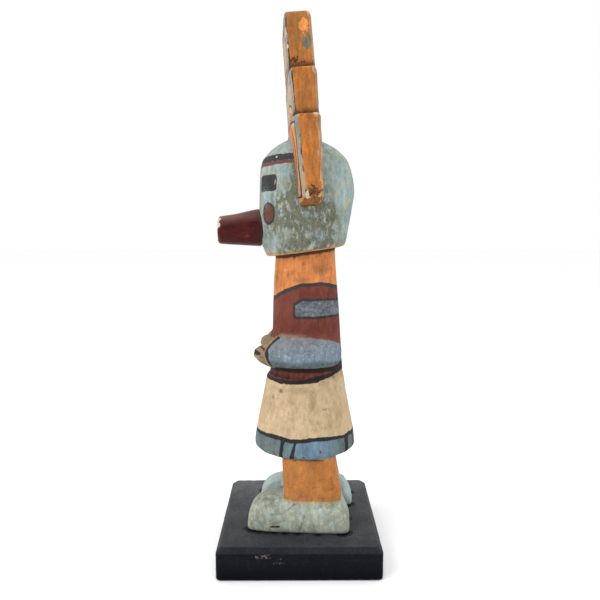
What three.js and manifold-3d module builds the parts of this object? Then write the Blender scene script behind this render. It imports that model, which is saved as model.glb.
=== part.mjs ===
// A carved and painted wooden doll on a square board, in millimetres.
// The origin is the centre of the board's underside, +Z is up and the doll faces -Y.
import * as THREE from "three";
import { mergeVertices } from "three/addons/utils/BufferGeometryUtils.js";
import Module from "manifold-3d";

const wasm = await Module();
wasm.setup();

// The board that the doll stands on
const baseWidth = 95;
const baseHeight = 19;
const baseChamfer = 3;
const baseCornerRadius = 2.5;
const baseLowerEase = 0.8;

// Clearance between the figure and the pieces fitted to it
const fitGap = 0.3;

// The figure, carved from one root. Heights are above the board's top.
const rootRadius = 32.6;
const rootCentreY = 3.2;
const ringSides = 48;

const footHeight = 17.5;
const footLength = 61;
const footWidth = 24.5;
const footGap = 12.5;
const footTurn = THREE.MathUtils.degToRad(-4);

const legWidth = 21.5;
const legDepth = 31.5;

const hemHeight = 45.5;
const hemRadius = 31.4;
const waistHeight = 89;
const waistRadius = 23.8;
const beltRadius = 22.4;
const shoulderHeight = 162;
const shoulderRadius = 17.9;
const kiltHeight = waistHeight - hemHeight;

const armLowerHeight = 99;
const armUpperHeight = 118.5;
const armFacetHeight = 111.5;
const handRidgeHeight = 104.2;

const helmetLowerHeight = 166;
const helmetHeight = 65.8;
const helmetRadius = 28.4;
const helmetCentreY = 4.7;
const helmetLowerSlope = 0.133;

// The stepped headboard
const boardTopHeight = 296;
const boardStepHeights = [264.6, 239];
const boardLowerHeight = 195;
const boardHalfWidths = [24, 32, 40];
const boardLowerRise = 17;
const boardTopThickness = 14.8;
const boardLowerThickness = 10.8;
const boardLean = THREE.MathUtils.degToRad(4.83);
const boardTopTurn = THREE.MathUtils.degToRad(2.2);
const boardLowerTurn = THREE.MathUtils.degToRad(5.5);
const boardFrontY = -1;
const boardCornerRadius = 3;
const boardFrontEase = 1;
const boardBackEase = 1.6;

// The snout plugged onto the helmet
const snoutTipY = -48.7;
const snoutRootRadius = 12.1;
const snoutTipRadius = 8.2;
const snoutRootHeight = 179.4;
const snoutTipHeight = 177.6;
const snoutRimEase = 1.3;
const snoutSides = 32;

const smooth = (t) => t * t * (3 - 2 * t);
const clamp01 = (t) => Math.min(Math.max(t, 0), 1);
const mix = (a, b, t) => a + (b - a) * t;

// A value that runs smoothly through [place, value] pairs
function follow(pairs, place) {
  const curve = new THREE.CatmullRomCurve3(
    pairs.map(([at, value]) => new THREE.Vector3(at, value, 0)),
    false,
    "centripetal",
  );
  let low = 0;
  let high = 1;
  for (let step = 0; step < 40; step += 1) {
    const middle = (low + high) / 2;
    if (curve.getPoint(middle).x < place) {
      low = middle;
    } else {
      high = middle;
    }
  }
  return curve.getPoint((low + high) / 2).y;
}

// Closed rings of equal length, skinned from first to last with a flat cap at each end
function loftRings(rings) {
  const sides = rings[0].length;
  const positions = [];
  const indices = [];
  for (const ring of rings) {
    for (const point of ring) {
      positions.push(point.x, point.y, point.z);
    }
  }
  for (let row = 0; row + 1 < rings.length; row += 1) {
    for (let side = 0; side < sides; side += 1) {
      const here = row * sides + side;
      const next = row * sides + ((side + 1) % sides);
      indices.push(here, next, next + sides);
      indices.push(here, next + sides, here + sides);
    }
  }
  for (const [row, forward] of [[0, false], [rings.length - 1, true]]) {
    const centre = new THREE.Vector3();
    rings[row].forEach((point) => centre.addScaledVector(point, 1 / sides));
    const hub = positions.length / 3;
    positions.push(centre.x, centre.y, centre.z);
    for (let side = 0; side < sides; side += 1) {
      const here = row * sides + side;
      const next = row * sides + ((side + 1) % sides);
      if (forward) {
        indices.push(here, next, hub);
      } else {
        indices.push(next, here, hub);
      }
    }
  }
  const geometry = new THREE.BufferGeometry();
  geometry.setAttribute("position", new THREE.Float32BufferAttribute(positions, 3));
  geometry.setIndex(indices);
  return geometry;
}

// Six times the volume inside the triangles, negative when they face inwards
function signedVolume(positions, triangles) {
  const [a, b, c] = [new THREE.Vector3(), new THREE.Vector3(), new THREE.Vector3()];
  let total = 0;
  for (let at = 0; at < triangles.length; at += 3) {
    a.fromArray(positions, triangles[at] * 3);
    b.fromArray(positions, triangles[at + 1] * 3);
    c.fromArray(positions, triangles[at + 2] * 3);
    total += a.dot(b.cross(c));
  }
  return total;
}

function toSolid(geometry) {
  const merged = mergeVertices(geometry, 1e-4);
  const positions = merged.attributes.position.array;
  const triangles = Array.from(merged.index.array);
  if (signedVolume(positions, triangles) < 0) {
    triangles.reverse();
  }
  return new wasm.Manifold(new wasm.Mesh({
    numProp: 3,
    vertProperties: new Float32Array(positions),
    triVerts: new Uint32Array(triangles),
  }));
}

function toMesh(solid, name, material) {
  const { vertProperties, triVerts } = solid.getMesh();
  const geometry = new THREE.BufferGeometry();
  geometry.setAttribute("position", new THREE.Float32BufferAttribute(vertProperties, 3));
  geometry.setIndex(Array.from(triVerts));
  geometry.computeVertexNormals();
  const mesh = new THREE.Mesh(geometry, material);
  mesh.name = name;
  return mesh;
}

// An upright ring, counterclockwise from above, with its plane tipped by slope along Y
function levelRing(centreY, radiusX, radiusY, height, slope = 0, sides = ringSides) {
  const ring = [];
  for (let side = 0; side < sides; side += 1) {
    const angle = (side / sides) * Math.PI * 2;
    const y = radiusY * Math.sin(angle);
    ring.push(new THREE.Vector3(radiusX * Math.cos(angle), centreY + y, height + slope * y));
  }
  return ring;
}

// The rounded rectangle used by the board, counterclockwise from above
function roundedSquare(width, radius, height) {
  const ring = [];
  const reach = width / 2 - radius;
  const cornerSteps = 4;
  for (let corner = 0; corner < 4; corner += 1) {
    for (let step = 0; step <= cornerSteps; step += 1) {
      const angle = (corner + step / cornerSteps) * (Math.PI / 2);
      const signX = corner === 0 || corner === 3 ? 1 : -1;
      const signY = corner < 2 ? 1 : -1;
      ring.push(new THREE.Vector3(
        signX * reach + radius * Math.cos(angle),
        signY * reach + radius * Math.sin(angle),
        height,
      ));
    }
  }
  return ring;
}

function makeBase() {
  const full = baseWidth;
  return toSolid(loftRings([
    roundedSquare(full - 2 * baseLowerEase, baseCornerRadius, 0),
    roundedSquare(full, baseCornerRadius, baseLowerEase),
    roundedSquare(full, baseCornerRadius, baseHeight - baseChamfer),
    roundedSquare(full - 2 * baseChamfer, baseCornerRadius, baseHeight),
  ]));
}

// Helmet: nearly a cylinder, with a domed crown and a tipped lower rim.
// Shares of the helmet's height and radius; the grow value leaves a clearance around it.
function makeHelmet(grow = 0) {
  const radiusShares = [
    [-0.012, 0.84], [0.02, 0.885], [0.08, 0.905], [0.31, 0.972], [0.5, 1], [0.62, 0.985],
    [0.72, 0.95], [0.793, 0.9], [0.828, 0.84], [0.865, 0.755], [0.9, 0.67], [0.935, 0.54],
    [0.972, 0.38], [0.992, 0.2], [1, 0.07],
  ];
  const centreShifts = [[-0.012, -1.9], [0.3, -1.05], [0.52, 0], [0.73, -0.8], [1, -2]];
  const rings = radiusShares.map(([share, radiusShare]) => {
    const slope = helmetLowerSlope * (1 - smooth(clamp01(share / 0.7)));
    const radius = helmetRadius * radiusShare + grow;
    const lift = share > 0.9 ? grow : 0;
    const drop = share < 0.01 ? grow : 0;
    return levelRing(
      helmetCentreY + follow(centreShifts, share),
      radius,
      radius,
      baseHeight + helmetLowerHeight + helmetHeight * share + lift - drop,
      slope,
    );
  });
  return toSolid(loftRings(rings));
}

// Torso and kilt in one turned-looking form, slightly deeper than wide
function makeTrunk() {
  const torsoHeight = shoulderHeight - waistHeight;
  const stations = [
    [hemHeight, hemRadius - 0.8, 0.2],
    [hemHeight + 1, hemRadius, 0.2],
    [hemHeight + kiltHeight * 0.2, mix(hemRadius, waistRadius, 0.12), 0.25],
    [hemHeight + kiltHeight * 0.5, mix(hemRadius, waistRadius, 0.45), 0.3],
    [hemHeight + kiltHeight * 0.8, mix(hemRadius, waistRadius, 0.8), 0.35],
    [waistHeight, waistRadius, 0.5],
    [waistHeight + 2.2, beltRadius, 1.3],
    [waistHeight + torsoHeight * 0.16, beltRadius - 0.7, 1.3],
    [waistHeight + torsoHeight * 0.32, beltRadius - 1.3, 1.3],
    [waistHeight + torsoHeight * 0.48, beltRadius - 1.8, 1.1],
    [waistHeight + torsoHeight * 0.64, beltRadius - 2.4, 0.9],
    [waistHeight + torsoHeight * 0.8, mix(beltRadius, shoulderRadius, 0.72), 0.6],
    [shoulderHeight, shoulderRadius, 0.6],
    [helmetLowerHeight + 6, shoulderRadius - 0.3, 0.6],
  ];
  return toSolid(loftRings(stations.map(([height, radius, shift]) => levelRing(
    rootCentreY + shift,
    radius * 1.02,
    radius,
    baseHeight + height,
  ))));
}

// Sections of the relief arm and hand, from the lower inside edge round to the upper one.
// Each point is [depth below the outer face, height], or the inner face where depth is null.
function armSection() {
  const [low, top, facet] = [armLowerHeight, armUpperHeight, armFacetHeight];
  return [
    [null, low + 2.5], [7, low + 0.6], [2, low], [0, low + 2.2], [-0.2, (low + facet) / 2],
    [0.2, facet], [2.4, mix(facet, top, 0.6)], [5, top - 0.9], [9, top], [null, top - 1],
  ];
}

function handSection() {
  const ridge = handRidgeHeight;
  return [
    [null, ridge - 7.7], [9.9, ridge - 8.5], [6.6, ridge - 7.3], [3.2, ridge - 5.2],
    [0.7, ridge - 2.6], [0, ridge], [1.5, ridge + 2.2], [5.8, ridge + 5.2], [9.5, ridge + 9],
    [null, ridge + 10],
  ];
}

// One forearm and hand, from the round elbow behind to the finger tips in front.
// side is 1 for the doll's left arm and -1 for its right, which is held a little higher.
function makeArm(side, handRise, handSink) {
  const inner = beltRadius - 6;
  const middle = (armLowerHeight + armUpperHeight) / 2;
  const [elbowEnd, elbowSpan, fingerEnd] = [149, 36, 3];
  const steps = 28;
  const rings = [];
  for (let step = 0; step <= steps; step += 1) {
    const degrees = mix(elbowEnd, fingerEnd, step / steps);
    const azimuth = THREE.MathUtils.degToRad(degrees);
    const elbow = clamp01((elbowEnd - degrees) / elbowSpan);
    const elbowRound = Math.sqrt(1 - (1 - elbow) ** 2);
    const hand = smooth(clamp01((58 - degrees) / 24));
    const tip = clamp01((16 - degrees) / 13);
    const tipRound = Math.sqrt(1 - 0.9 * tip ** 2);
    const outer = mix(beltRadius - 2, rootRadius - hand * handSink, Math.min(elbowRound, tipRound));
    const squeeze = mix(0.4, 1, elbowRound) * mix(0.45, 1, tipRound);
    const arm = armSection();
    const ring = handSection().map(([handDepth, handHeight], index) => {
      const [armDepth, armHeight] = arm[index];
      const depth = mix(armDepth ?? 0, handDepth ?? 0, hand);
      const radius = armDepth === null ? inner : Math.max(outer - depth, inner + 0.5);
      const height = mix(armHeight, handHeight + handRise, hand);
      const pivot = mix(middle, handRidgeHeight + handRise, hand);
      return new THREE.Vector3(
        side * radius * Math.sin(azimuth),
        rootCentreY - radius * Math.cos(azimuth),
        baseHeight + mix(pivot, height, squeeze),
      );
    });
    rings.push(ring);
  }
  return toSolid(loftRings(rings));
}

// A slab of a leg with rounded corners, from inside the foot up into the kilt
function makeLeg(side, shiftY) {
  const rings = [];
  const sides = 20;
  const levels = 6;
  const bottom = footHeight - 3;
  const top = hemHeight + 4;
  const innerX = footGap / 2 + 0.2;
  for (let level = 0; level < levels; level += 1) {
    const share = level / (levels - 1);
    const depth = mix(legDepth + 4, legDepth - 0.5, share);
    const width = mix(legWidth + 0.3, legWidth, share);
    const centreY = shiftY + mix(9.3, 5.3, share);
    const ring = [];
    for (let step = 0; step < sides; step += 1) {
      const angle = (step / sides) * Math.PI * 2;
      const cos = Math.cos(angle);
      const sin = Math.sin(angle);
      const square = (cos ** 4 + sin ** 4) ** -0.25;
      ring.push(new THREE.Vector3(
        side * (innerX + width / 2) + (width / 2) * cos * square,
        centreY + (depth / 2) * sin * square,
        baseHeight + mix(bottom, top, share),
      ));
    }
    rings.push(ring);
  }
  return toSolid(loftRings(rings));
}

// A tall blocky moccasin, lofted from heel to toe. heelCut slopes the back of the heel.
function makeFoot(side, shiftY, toeDrop, heelCut) {
  const innerX = footGap / 2;
  const heelY = footLength / 2;
  const stations = [
    [0.0, 0.36, 0.72], [0.012, 0.52, 0.8], [0.03, 0.7, 0.88], [0.055, 0.87, 0.93],
    [0.09, 0.98, 0.96], [0.3, 1.02, 1.0], [0.5, 1.04, 1.0], [0.62, 1.12, 1.0], [0.72, 1.14, 0.99],
    [0.8, 1.08, 0.97], [0.87, 0.99, 0.93], [0.925, 0.86, 0.87], [0.965, 0.68, 0.8],
    [0.99, 0.46, 0.7], [1.0, 0.22, 0.62],
  ];
  const rings = stations.map(([share, heightShare, widthShare]) => {
    const slopedHeel = 1 - heelCut * (1 - clamp01(share / 0.14));
    const fallingToe = toeDrop * smooth(clamp01((share - 0.5) / 0.2));
    const height = footHeight * heightShare * slopedHeel - fallingToe;
    const halfWidth = (footWidth / 2) * widthShare;
    const y = shiftY + heelY - footLength * share;
    const x = side * (innerX + footWidth / 2);
    const outline = [
      [-0.94, 0], [-1, 0.12], [-1, 0.45], [-0.97, 0.7], [-0.86, 0.87], [-0.62, 0.96],
      [-0.2, 1], [0.2, 1], [0.62, 0.96], [0.86, 0.87], [0.97, 0.7], [1, 0.45], [1, 0.12],
      [0.94, 0],
    ];
    return outline.map(([across, up]) => new THREE.Vector3(
      x + across * halfWidth,
      y,
      baseHeight + up * Math.max(height, 1.5),
    ));
  });
  return toSolid(loftRings(rings));
}

function makeFigure() {
  let figure = makeTrunk().add(makeHelmet());
  figure = figure.add(makeArm(1, 0, 0)).add(makeArm(-1, 4.4, 3.4));
  const legsAndFeet = [
    makeLeg(1, 0.7).add(makeFoot(1, 1, 0, 0)),
    makeLeg(-1, -1.2).add(makeFoot(-1, 3.4, 4, 0.6)),
  ];
  for (const leg of legsAndFeet) {
    figure = figure.add(leg.rotate([0, 0, THREE.MathUtils.radToDeg(footTurn)]));
  }
  return figure;
}

// The headboard's outline, front view, counterclockwise seen from the front
function boardOutline(inset) {
  const [topHalf, middleHalf, lowerHalf] = boardHalfWidths;
  const [upperStep, lowerStep] = boardStepHeights;
  const half = [
    [lowerHalf, boardLowerHeight, 1.2],
    [lowerHalf, lowerStep, 2],
    [middleHalf, lowerStep, 0.8],
    [middleHalf, upperStep, 2],
    [topHalf, upperStep, 0.8],
    [topHalf, boardTopHeight, boardCornerRadius],
  ];
  const lowerMiddle = [0, boardLowerHeight - boardLowerRise, 0];
  const mirrored = half.slice().reverse().map(([x, z, radius]) => [-x, z, radius]);
  const corners = [lowerMiddle, ...half, ...mirrored];
  const count = corners.length;
  const outline = [];
  corners.forEach(([x, z, radius], index) => {
    const here = new THREE.Vector2(x, z);
    const before = new THREE.Vector2(...corners[(index + count - 1) % count].slice(0, 2));
    const after = new THREE.Vector2(...corners[(index + 1) % count].slice(0, 2));
    const inward = before.clone().sub(here).normalize();
    const outward = after.clone().sub(here).normalize();
    const normalIn = new THREE.Vector2(inward.y, -inward.x);
    const normalOut = new THREE.Vector2(-outward.y, outward.x);
    const bisector = normalIn.clone().add(normalOut).normalize();
    const moved = here.clone().addScaledVector(bisector, inset / bisector.dot(normalIn));
    if (radius === 0) {
      outline.push(moved);
      return;
    }
    const start = moved.clone().addScaledVector(inward, radius);
    const end = moved.clone().addScaledVector(outward, radius);
    const corner = new THREE.QuadraticBezierCurve(start, moved, end);
    outline.push(...corner.getPoints(3));
  });
  return outline;
}

// From the headboard's own frame, depth measured back from its front face.
// The board leans forward, and is turned more at its lower end than at its top.
function placeOnBoard(x, height, depth) {
  const pivot = baseHeight + boardLowerHeight;
  const share = (height - boardLowerHeight) / (boardTopHeight - boardLowerHeight);
  const turn = mix(boardLowerTurn, boardTopTurn, share);
  const point = new THREE.Vector3(x, depth, baseHeight + height - pivot);
  point.applyAxisAngle(new THREE.Vector3(1, 0, 0), boardLean);
  point.add(new THREE.Vector3(0, boardFrontY, pivot));
  return point.applyAxisAngle(new THREE.Vector3(0, 0, 1), turn);
}

function makeHeadboard() {
  const thickness = (height) => {
    const share = clamp01((height - boardLowerHeight) / (boardTopHeight - boardLowerHeight));
    const eased = Math.sin(Math.min(share / 0.9, 1) * (Math.PI / 2));
    return mix(boardLowerThickness, boardTopThickness, eased);
  };
  const layers = [
    [boardFrontEase, () => 0],
    [0, () => boardFrontEase],
    [0, (height) => thickness(height) - boardBackEase],
    [boardBackEase, (height) => thickness(height)],
  ];
  const rings = layers.map(([inset, depthAt]) => boardOutline(inset).map(
    (point) => placeOnBoard(point.x, point.y, depthAt(point.y)),
  ));
  return toSolid(loftRings(rings)).subtract(makeHelmet(fitGap));
}

function makeSnout() {
  const rootY = helmetCentreY - helmetRadius * 0.6;
  const length = rootY - snoutTipY;
  const stations = [
    [0, 1], [0.35, 0.97], [0.6, 0.94], [0.8, 0.92], [1 - snoutRimEase / length, 0.9],
    [1 - (snoutRimEase / length) * 0.3, 0.86], [1, 0.78],
  ];
  const tipShare = snoutTipRadius / snoutRootRadius;
  const rings = stations.map(([along, roundShare]) => {
    const taper = mix(1, tipShare, along) * mix(1, roundShare / 0.9, clamp01((along - 0.75) / 0.25));
    const radius = snoutRootRadius * Math.min(taper, 1);
    const height = baseHeight + mix(snoutRootHeight, snoutTipHeight, along);
    const ring = [];
    for (let side = 0; side < snoutSides; side += 1) {
      const angle = (side / snoutSides) * Math.PI * 2;
      ring.push(new THREE.Vector3(
        radius * Math.cos(angle),
        rootY - length * along,
        height + radius * Math.sin(angle),
      ));
    }
    return ring;
  });
  return toSolid(loftRings(rings)).subtract(makeHelmet(fitGap));
}

const paintedRoot = new THREE.MeshStandardMaterial({ color: 0x9aa39c, roughness: 0.85 });
const paintedBoard = new THREE.MeshStandardMaterial({ color: 0xb06a3a, roughness: 0.85 });
const maroonPaint = new THREE.MeshStandardMaterial({ color: 0x4a1f22, roughness: 0.5 });
const blackStain = new THREE.MeshStandardMaterial({ color: 0x1b1c20, roughness: 0.45 });

const doll = new THREE.Group();
doll.add(toMesh(makeBase(), "base", blackStain));
doll.add(toMesh(makeFigure(), "figure", paintedRoot));
doll.add(toMesh(makeHeadboard(), "headboard", paintedBoard));
doll.add(toMesh(makeSnout(), "snout", maroonPaint));

export default doll;
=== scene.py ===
import math

import bmesh
import bpy
import numpy as np
from mathutils import Matrix, Vector


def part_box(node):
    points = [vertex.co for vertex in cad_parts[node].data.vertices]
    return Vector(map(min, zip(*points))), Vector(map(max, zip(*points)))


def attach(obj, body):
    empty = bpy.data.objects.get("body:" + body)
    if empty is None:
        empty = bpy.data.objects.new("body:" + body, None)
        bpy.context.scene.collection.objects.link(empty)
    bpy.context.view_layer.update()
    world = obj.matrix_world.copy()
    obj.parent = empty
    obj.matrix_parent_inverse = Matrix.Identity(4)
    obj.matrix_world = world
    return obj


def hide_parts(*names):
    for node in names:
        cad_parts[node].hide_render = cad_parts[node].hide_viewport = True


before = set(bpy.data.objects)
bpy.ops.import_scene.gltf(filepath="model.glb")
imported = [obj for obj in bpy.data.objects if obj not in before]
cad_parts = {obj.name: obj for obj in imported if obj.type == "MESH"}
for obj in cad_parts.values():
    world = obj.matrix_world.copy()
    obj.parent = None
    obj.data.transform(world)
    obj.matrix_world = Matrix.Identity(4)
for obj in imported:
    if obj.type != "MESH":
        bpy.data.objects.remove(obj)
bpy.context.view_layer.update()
print("frame loaded")

mm = 0.001


def clamp(values, low=0.0, high=1.0):
    return np.minimum(np.maximum(values, low), high)


def easeStep(values, low, high):
    t = clamp((values - low) / (high - low))
    return t * t * (3 - 2 * t)


# Numbers from -1 to 1 that look random, one for each whole cell
def cellValues(cells, seed):
    mixed = cells[:, 0] * 73856093 ^ cells[:, 1] * 19349663 ^ cells[:, 2] * 83492791
    mixed = mixed + seed * 982451653
    mixed = (mixed ^ (mixed >> 13)) * 1274126177
    mixed = (mixed ^ (mixed >> 16)) & 0x7FFFFFFF
    return mixed / 0x3FFFFFFF - 1.0


# Smooth noise from -1 to 1 whose lumps have the given size in millimetres
def softNoise(points, size, seed):
    scaled = points / np.asarray(size, dtype=float)
    cells = np.floor(scaled).astype(np.int64)
    part = scaled - cells
    part = part * part * (3 - 2 * part)
    total = np.zeros(len(points))
    for corner in range(8):
        step = np.array([corner & 1, (corner >> 1) & 1, (corner >> 2) & 1])
        weight = np.prod(np.where(step == 1, part, 1 - part), axis=1)
        total += weight * cellValues(cells + step, seed)
    return total


# A fine, even mesh over a frame node, for carving and painting
def carvingBlank(node, name, voxel):
    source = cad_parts[node]
    mesh = source.data.copy()
    mesh.materials.clear()
    welded = bmesh.new()
    welded.from_mesh(mesh)
    bmesh.ops.remove_doubles(welded, verts=welded.verts, dist=1e-6)
    welded.to_mesh(mesh)
    welded.free()
    piece = bpy.data.objects.new(name, mesh)
    bpy.context.scene.collection.objects.link(piece)
    remesh = piece.modifiers.new("voxels", "REMESH")
    remesh.mode = "VOXEL"
    remesh.voxel_size = voxel * mm
    depsgraph = bpy.context.evaluated_depsgraph_get()
    dense = bpy.data.meshes.new_from_object(piece.evaluated_get(depsgraph))
    piece.modifiers.clear()
    piece.data = dense
    dense.name = name
    return piece


def readPoints(piece):
    points = np.empty(len(piece.data.vertices) * 3)
    piece.data.vertices.foreach_get("co", points)
    return points.reshape(-1, 3) / mm


def writePoints(piece, points):
    piece.data.vertices.foreach_set("co", (points * mm).ravel())
    piece.data.update()


def readNormals(piece):
    normals = np.empty(len(piece.data.vertices) * 3, dtype=np.float32)
    piece.data.vertex_normals.foreach_get("vector", normals)
    return normals.reshape(-1, 3).astype(float)


def readEdges(piece):
    edges = np.empty(len(piece.data.edges) * 2, dtype=np.int32)
    piece.data.edges.foreach_get("vertices", edges)
    return edges.reshape(-1, 2)


def averaged(values, edges, rounds):
    flat = values.reshape(len(values), -1).astype(float)
    count = np.bincount(edges.ravel(), minlength=len(flat))
    for _ in range(rounds):
        total = np.empty_like(flat)
        for column in range(flat.shape[1]):
            total[:, column] = np.bincount(edges[:, 0], flat[edges[:, 1], column], len(flat))
            total[:, column] += np.bincount(edges[:, 1], flat[edges[:, 0], column], len(flat))
        flat = flat + 0.5 * (total / count[:, None] - flat)
    return flat.reshape(values.shape)


# How hollow (+) or sharp (-) the surface is, in millimetres at the given spread
def hollowness(points, normals, edges, rounds):
    return np.sum((averaged(points, edges, rounds) - points) * normals, axis=1)


def storeValues(piece, values):
    for name, numbers in values.items():
        layer = piece.data.attributes.new(name, "FLOAT", "POINT")
        layer.data.foreach_set("value", np.asarray(numbers, dtype=np.float32))


def smoothShade(piece):
    piece.data.polygons.foreach_set("use_smooth", np.ones(len(piece.data.polygons), dtype=bool))


# A blank with its edges eased, ready to carve
def roundedBlank(node, name, look):
    piece = carvingBlank(node, name, look["voxel"])
    edges = readEdges(piece)
    points = averaged(readPoints(piece), edges, look["roundingPasses"])
    writePoints(piece, points)
    return piece, edges, points, readNormals(piece)


# A painted area is a distance, positive inside, so the lesser of two is inside both areas
both = np.minimum
either = np.maximum


# Inside distance of a rounded box
def roundedBox(across, up, halfAcross, halfUp, radius):
    overAcross = np.abs(across) - (halfAcross - radius)
    overUp = np.abs(up) - (halfUp - radius)
    outside = np.hypot(np.maximum(overAcross, 0), np.maximum(overUp, 0))
    return radius - outside - np.minimum(np.maximum(overAcross, overUp), 0)


def ellipseInside(across, up, halfAcross, halfUp):
    return (1 - np.hypot(across / halfAcross, up / halfUp)) * min(halfAcross, halfUp)


def put(tree, kind, inputs=None, **settings):
    node = tree.nodes.new(kind)
    for key, value in settings.items():
        setattr(node, key, value)
    for key, value in (inputs or {}).items():
        if isinstance(value, bpy.types.NodeSocket):
            tree.links.new(value, node.inputs[key])
        else:
            node.inputs[key].default_value = value
    return node


def toned(colour, factors):
    return tuple(value * factor for value, factor in zip(colour, factors))


def mixColour(tree, factor, first, second, blend="MIX"):
    node = put(tree, "ShaderNodeMix", data_type="RGBA", blend_type=blend)
    for index, value in ((0, factor), (6, first), (7, second)):
        if isinstance(value, bpy.types.NodeSocket):
            tree.links.new(value, node.inputs[index])
        elif index == 0:
            node.inputs[index].default_value = value
        else:
            node.inputs[index].default_value = (*value, 1.0)
    return node.outputs[2]


def maths(tree, operation, first, second=0.0, clampResult=False):
    node = put(tree, "ShaderNodeMath", {0: first, 1: second}, operation=operation, use_clamp=clampResult)
    return node.outputs[0]


def times(tree, first, second):
    return maths(tree, "MULTIPLY", first, second)


def plus(tree, first, second):
    return maths(tree, "ADD", first, second)


def stored(tree, name):
    return put(tree, "ShaderNodeAttribute", attribute_name=name).outputs["Fac"]


def ranged(tree, value, low, high, toLow=0.0, toHigh=1.0):
    inputs = {"Value": value, "From Min": low, "From Max": high, "To Min": toLow, "To Max": toHigh}
    return put(tree, "ShaderNodeMapRange", inputs, interpolation_type="SMOOTHSTEP").outputs["Result"]


# Noise with lumps of about size millimetres, drawn out along each axis by stretch
def grain(tree, size, stretch=(1, 1, 1), detail=3.0, roughness=0.55):
    place = put(tree, "ShaderNodeTexCoord").outputs["Object"]
    scale = tuple(1000.0 / (size * factor) for factor in stretch)
    moved = put(tree, "ShaderNodeMapping", {"Vector": place, "Scale": scale}).outputs["Vector"]
    inputs = {"Vector": moved, "Scale": 1.0, "Detail": detail, "Roughness": roughness}
    return put(tree, "ShaderNodeTexNoise", inputs).outputs["Fac"]


# 1 where the stored distance, roughened by the brush, is inside the painted area
def painted(tree, name, ragged, soft=0.18, grow=0.0):
    distance = plus(tree, stored(tree, name), grow)
    distance = plus(tree, distance, ragged)
    return ranged(tree, distance, -soft, soft)


def startMaterial(name):
    material = bpy.data.materials.new(name)
    material.use_nodes = True
    tree = material.node_tree
    tree.nodes.clear()
    return material, tree


def finishMaterial(tree, colour, roughness, height, bumpDistance, bumpStrength, specular):
    inputs = {"Height": height, "Distance": bumpDistance * mm, "Strength": bumpStrength}
    bump = put(tree, "ShaderNodeBump", inputs)
    inputs = {"Base Color": colour, "Roughness": roughness, "Normal": bump.outputs["Normal"],
              "Specular IOR Level": specular}
    shader = put(tree, "ShaderNodeBsdfPrincipled", inputs)
    output = put(tree, "ShaderNodeOutputMaterial")
    tree.links.new(shader.outputs["BSDF"], output.inputs["Surface"])


# Ragged edge of brushed paint, in millimetres either way
def raggedEdge(tree, amount=0.55):
    fine = grain(tree, 1.6, (1, 1, 1.3), 3)
    return times(tree, maths(tree, "SUBTRACT", fine, 0.5), amount * 2)


# Wear, grime, painted shade and brush marks shared by all the matt earth paints
def weathered(tree, colour, paints, wearAmount, dirtAndShadeAmount, streakAmount=1.0):
    streaks = grain(tree, 1.3, (1, 1, 9), 4, 0.6)
    light = mixColour(tree, 1.0, colour, (1.28, 1.26, 1.2), "MULTIPLY")
    bright = maths(tree, "SUBTRACT", ranged(tree, streaks, 0.34, 0.72), 0.5)
    bright = plus(tree, times(tree, bright, streakAmount), 0.5)
    colour = mixColour(tree, bright, colour, light)
    cloudy = grain(tree, 8, (1, 1, 1.8), 5, 0.65)
    shaded = mixColour(tree, 1.0, colour, (0.66, 0.63, 0.58), "MULTIPLY")
    colour = mixColour(tree, ranged(tree, cloudy, 0.36, 0.68, 0.0, 0.75), colour, shaded)
    dabs = grain(tree, 2.4, (1, 1, 1.5), 5, 0.7)
    pale = mixColour(tree, 1.0, colour, (1.3, 1.3, 1.3), "MULTIPLY")
    colour = mixColour(tree, ranged(tree, dabs, 0.5, 0.72, 0.0, 0.8), colour, pale)
    dull = mixColour(tree, 1.0, colour, (0.62, 0.6, 0.58), "MULTIPLY")
    colour = mixColour(tree, ranged(tree, dabs, 0.48, 0.3, 0.0, 0.6), colour, dull)
    speck = grain(tree, 1.0, (1, 1, 1.6), 5, 0.7)
    worn = plus(tree, times(tree, stored(tree, "wornEdge"), wearAmount), speck)
    colour = mixColour(tree, ranged(tree, worn, 0.86, 0.99, 0.0, 0.85), colour, paints["wood"])
    # The stored dirt-and-shade value darkens towards soot: grime, and painted shade in hollows, under parts
    # and where parts meet
    smut = grain(tree, 3.6, (1, 1, 1.5), 5, 0.65)
    grimeAndShade = times(tree, stored(tree, "dirtAndShade"), times(tree, smut, dirtAndShadeAmount))
    colour = mixColour(tree, ranged(tree, grimeAndShade, 0.05, 0.85, 0.0, 0.92), colour, paints["soot"])
    flecks = ranged(tree, grain(tree, 0.7, (1, 1, 1.4), 2, 0.5), 0.66, 0.75, 0.0, 0.55)
    return mixColour(tree, flecks, colour, paints["soot"]), streaks, speck


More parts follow.
